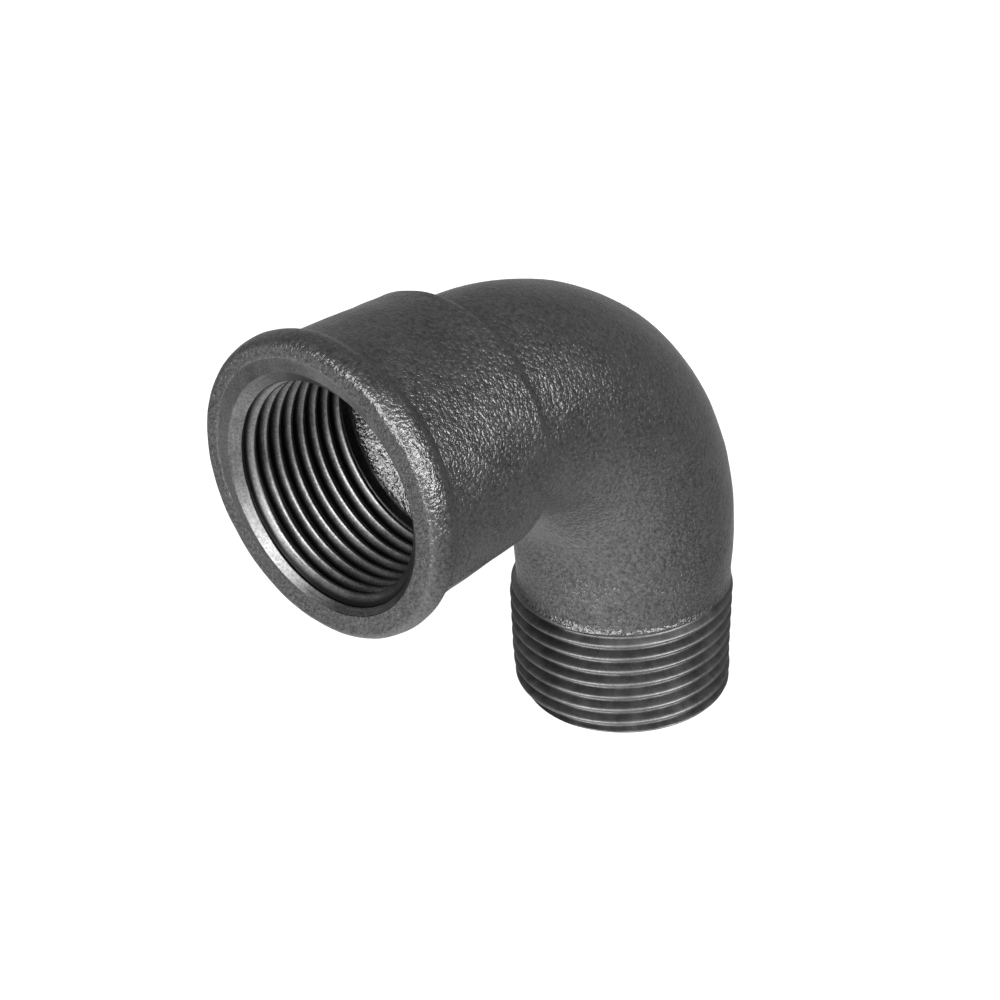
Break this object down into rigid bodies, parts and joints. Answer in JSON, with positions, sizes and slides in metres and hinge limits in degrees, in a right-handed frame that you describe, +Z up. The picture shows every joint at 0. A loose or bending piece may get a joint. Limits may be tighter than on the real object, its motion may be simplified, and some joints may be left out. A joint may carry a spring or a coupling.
{
  "type": "pipe elbow",
  "caption": "Malleable iron street elbow, 90 degrees, with a beaded female threaded socket at one end and a tapered male thread at the other.",
  "frame": {"origin": "centre of the male leg's end face, on which the elbow stands", "axes": "+Z up along the male leg towards the bend; -Y out of the female mouth; X across the mirror plane x = 0"},
  "size_m": [0.0438, 0.0784, 0.0824],
  "materials": {
    "black_malleable_iron": "as cast, black"
  },
  "bodies": {
    "root": {"elbow_casting": "black_malleable_iron"}
  },
  "joints": []
}
